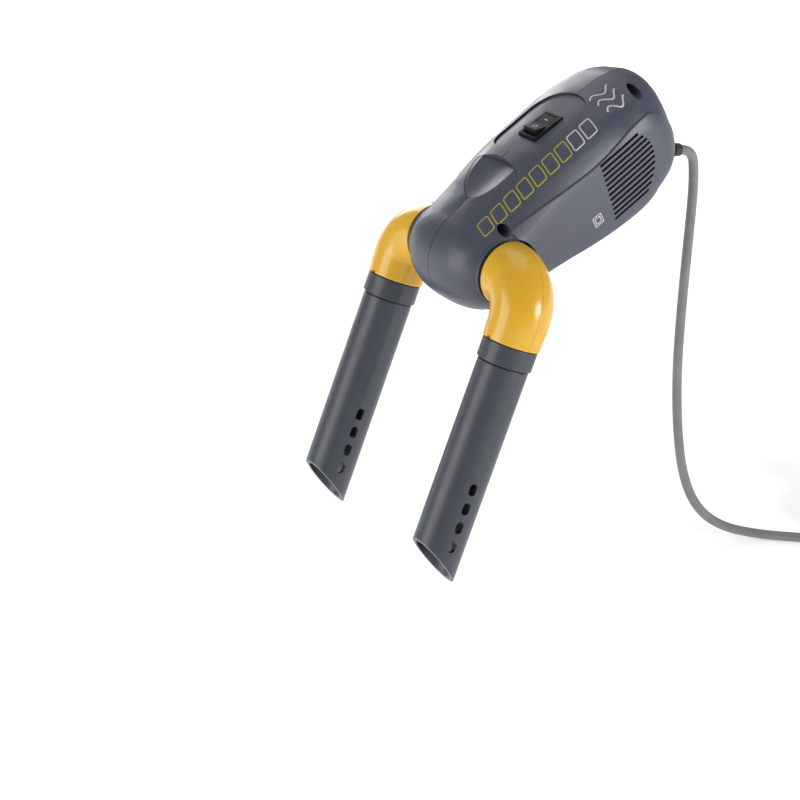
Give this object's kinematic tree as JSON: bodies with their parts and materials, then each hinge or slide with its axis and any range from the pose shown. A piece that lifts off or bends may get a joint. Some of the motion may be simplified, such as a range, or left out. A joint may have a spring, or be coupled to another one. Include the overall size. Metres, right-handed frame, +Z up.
{
  "type": "boot dryer",
  "caption": "Electric boot dryer: a fan heater body with a rocker switch and two swivelling elbows whose tubes stand in a pair of boots, with a mains lead and plug.",
  "frame": {"origin": "middle of the swivel axis that carries both elbows, which the boots hold up through the tubes", "axes": "+Z up, +X to the wearer's right along the swivel axis, -Y towards the boots' toes and +Y towards the body's tail and the mains lead"},
  "size_m": [0.1713, 0.3931, 0.3042],
  "materials": {
    "housing_grey": "satin",
    "thumb_rest_grey": "satin",
    "elbow_yellow": "gloss",
    "tube_slate": "satin",
    "spigot_brown": "matt",
    "switch_black": "satin",
    "steel": "brushed",
    "motor_steel": "satin",
    "brass": "satin",
    "heat_plastic": "matt",
    "fan_black": "matt",
    "mica": "matt",
    "resistance_wire": "satin",
    "lamp_glass": "clear",
    "board_green": "satin",
    "component_dark": "matt",
    "wire_insulation": "matt",
    "filter_foam": "matt",
    "relief_black": "matt",
    "cord_grey": "matt",
    "plug_grey": "satin"
  },
  "bodies": {
    "root": {"housing_right": "housing_grey", "housing_left": "housing_grey", "switch_panel": "housing_grey", "thumb_rest": "thumb_rest_grey", "housing_screws": "steel", "rocker_frame": "switch_black", "switch_terminals": "brass", "air_manifold": "heat_plastic", "heater_duct": "heat_plastic", "fan_shroud": "fan_black", "motor_body": "motor_steel", "motor_bushes": "brass", "heater_frame": "mica", "heater_coil": "resistance_wire", "thermal_cutout": "steel", "thermal_fuse": "steel", "uv_lamp": "lamp_glass", "lamp_holders": "fan_black", "ballast_board": "board_green", "ballast_parts": "component_dark", "internal_wires": "wire_insulation", "intake_filter_right": "filter_foam", "intake_filter_left": "filter_foam", "strain_relief": "relief_black", "cord_lead": "cord_grey", "cord_tail": "cord_grey", "cord_coil": "cord_grey", "coil_tie": "relief_black", "plug_body": "plug_grey", "plug_pins": "brass", "spigot_right": "spigot_brown", "swivel_seal_right": "relief_black", "spigot_left": "spigot_brown", "swivel_seal_left": "relief_black"},
    "left_elbow": {"elbow_left": "elbow_yellow"},
    "right_elbow": {"elbow_right": "elbow_yellow"},
    "left_tube": {"tube_collar_left": "tube_slate", "dry_tube_left": "tube_slate"},
    "right_tube": {"tube_collar_right": "tube_slate", "dry_tube_right": "tube_slate"},
    "rocker": {"rocker": "switch_black"},
    "rotor": {"impeller": "fan_black", "motor_shaft": "steel"}
  },
  "joints": [
    {"name": "right_elbow_swivel", "type": "hinge", "parent": "root", "child": "right_elbow", "pos_m": [0.04, 0, 0], "axis": [1, 0, 0], "range_deg": [-90, 140]},
    {"name": "right_tube_twist", "type": "hinge", "parent": "right_elbow", "child": "right_tube", "pos_m": [0.0575, -0.01247, -0.0298], "axis": [0, -0.3859, -0.9225], "range_deg": [-180, 180]},
    {"name": "left_elbow_swivel", "type": "hinge", "parent": "root", "child": "left_elbow", "pos_m": [-0.04, 0, 0], "axis": [1, 0, 0], "range_deg": [-90, 140]},
    {"name": "left_tube_twist", "type": "hinge", "parent": "left_elbow", "child": "left_tube", "pos_m": [-0.0575, -0.01247, -0.0298], "axis": [0, -0.3859, -0.9225], "range_deg": [-180, 180]},
    {"name": "rocker_tilt", "type": "hinge", "parent": "root", "child": "rocker", "pos_m": [0, 0.04601, 0.06317], "axis": [1, 0, 0], "range_deg": [0, 20]},
    {"name": "fan_spin", "type": "hinge", "parent": "root", "child": "rotor", "pos_m": [0, 0.07944, 0.0424], "axis": [0, 0.866, 0.5], "continuous": true}
  ]
}
